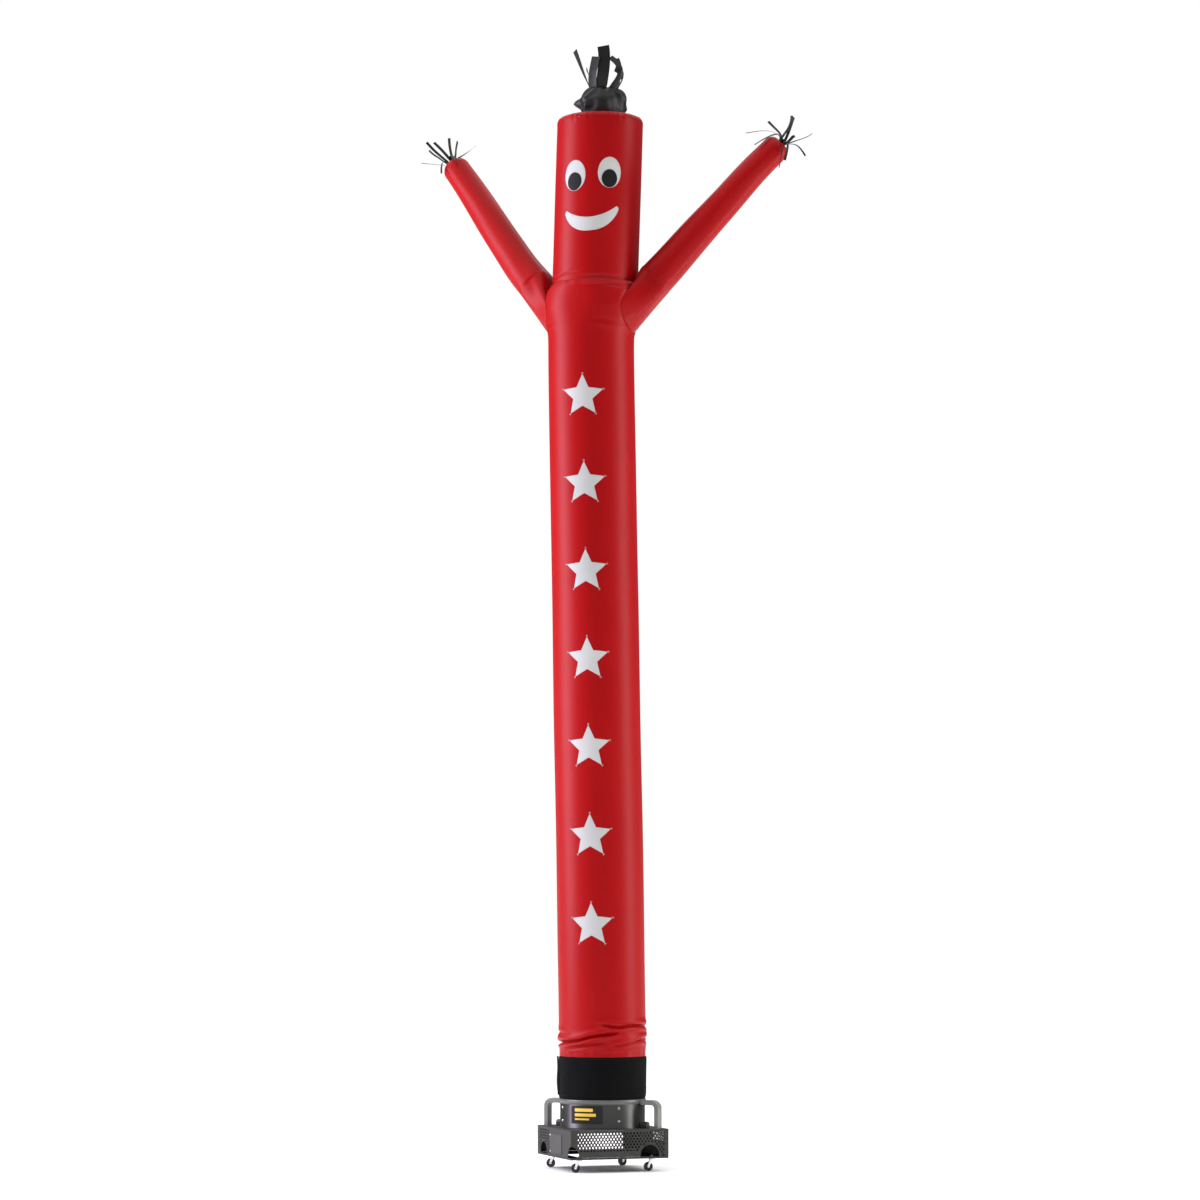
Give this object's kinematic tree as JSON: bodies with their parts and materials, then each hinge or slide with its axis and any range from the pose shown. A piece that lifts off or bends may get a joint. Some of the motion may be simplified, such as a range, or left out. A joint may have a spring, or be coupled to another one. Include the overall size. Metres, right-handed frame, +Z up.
{
  "type": "inflatable air dancer on its fan blower",
  "caption": "Tall red inflatable tube figure with raised arms, smiling face and black ribbons, strapped by a cuff to the round duct of a square blower on swivel casters.",
  "frame": {"origin": "middle of the bounding box on the ground plane", "axes": "+Z up, the figure's face towards -Y, its arms towards +X and -X"},
  "size_m": [2.2914, 0.8994, 6.1211],
  "materials": {
    "red_nylon": "satin coated nylon cloth",
    "white_cloth": "matte white cloth patch",
    "black_cloth": "matte black cloth",
    "black_nylon": "thin black nylon with a soft sheen",
    "duct_grey": "satin dark grey powder coat",
    "box_grey": "dark grey powder coat, perforated",
    "cover_grey": "grey powder coat",
    "handle_grey": "light grey powder coat",
    "label_black": "black film with yellow stripes",
    "bolt_zinc": "zinc plate",
    "fork_chrome": "bright plate",
    "wheel_rubber": "satin black"
  },
  "bodies": {
    "root": {"torso": "red_nylon", "head": "red_nylon", "crown": "red_nylon", "arm_left": "red_nylon", "arm_right": "red_nylon", "eye_white_left": "white_cloth", "eye_white_right": "white_cloth", "smile": "white_cloth", "star_1": "white_cloth", "star_2": "white_cloth", "star_3": "white_cloth", "star_4": "white_cloth", "star_5": "white_cloth", "star_6": "white_cloth", "star_7": "white_cloth", "pupil_left": "black_cloth", "pupil_right": "black_cloth", "hair_sleeve": "black_nylon", "hair_ribbons": "black_nylon", "ribbons_left": "black_nylon", "ribbons_right": "black_nylon", "cuff": "black_cloth", "cuff_strap": "black_cloth", "duct": "duct_grey", "duct_foot_left": "duct_grey", "duct_foot_right": "duct_grey", "label": "label_black", "bolt_1_low": "bolt_zinc", "bolt_1_high": "bolt_zinc", "bolt_2_low": "bolt_zinc", "bolt_2_high": "bolt_zinc", "bolt_3_low": "bolt_zinc", "bolt_3_high": "bolt_zinc", "bolt_4_low": "bolt_zinc", "bolt_4_high": "bolt_zinc", "cover_screw_low": "bolt_zinc", "cover_screw_high": "bolt_zinc", "caster_stem_front": "bolt_zinc", "caster_stem_right": "bolt_zinc", "caster_stem_back": "bolt_zinc", "caster_stem_left": "bolt_zinc", "handle_left": "handle_grey", "handle_right": "handle_grey", "top_plate": "box_grey", "base_frame": "box_grey", "panel_front_right": "box_grey", "panel_front_left": "box_grey", "panel_back_right": "box_grey", "panel_back_left": "box_grey", "inlet_cover": "cover_grey"},
    "swivel_front": {"caster_fork_front": "fork_chrome"},
    "wheel_front": {"caster_wheel_front": "wheel_rubber"},
    "swivel_right": {"caster_fork_right": "fork_chrome"},
    "wheel_right": {"caster_wheel_right": "wheel_rubber"},
    "swivel_back": {"caster_fork_back": "fork_chrome"},
    "wheel_back": {"caster_wheel_back": "wheel_rubber"},
    "swivel_left": {"caster_fork_left": "fork_chrome"},
    "wheel_left": {"caster_wheel_left": "wheel_rubber"}
  },
  "joints": [
    {"name": "caster_swivel_front", "type": "hinge", "parent": "root", "child": "swivel_front", "pos_m": [-0.0938, -0.35129, 0.0665], "axis": [0, 0, 1], "continuous": true},
    {"name": "wheel_spin_front", "type": "hinge", "parent": "swivel_front", "child": "wheel_front", "pos_m": [-0.11144, -0.35488, 0.02469], "axis": [0.1994, -0.9799, 0], "continuous": true},
    {"name": "caster_swivel_right", "type": "hinge", "parent": "root", "child": "swivel_right", "pos_m": [0.25589, -0.137, 0.0665], "axis": [0, 0, 1], "continuous": true},
    {"name": "wheel_spin_right", "type": "hinge", "parent": "swivel_right", "child": "wheel_right", "pos_m": [0.23903, -0.1433, 0.02469], "axis": [0.3502, -0.9367, 0], "continuous": true},
    {"name": "caster_swivel_back", "type": "hinge", "parent": "root", "child": "swivel_back", "pos_m": [0.0416, 0.21269, 0.0665], "axis": [0, 0, 1], "continuous": true},
    {"name": "wheel_spin_back", "type": "hinge", "parent": "swivel_back", "child": "wheel_back", "pos_m": [0.02642, 0.20302, 0.02469], "axis": [0.5373, -0.8434, 0], "continuous": true},
    {"name": "caster_swivel_left", "type": "hinge", "parent": "root", "child": "swivel_left", "pos_m": [-0.30809, -0.0016, 0.0665], "axis": [0, 0, 1], "continuous": true},
    {"name": "wheel_spin_left", "type": "hinge", "parent": "swivel_left", "child": "wheel_left", "pos_m": [-0.32609, -0.00176, 0.02469], "axis": [0.0087, -1, 0], "continuous": true}
  ]
}
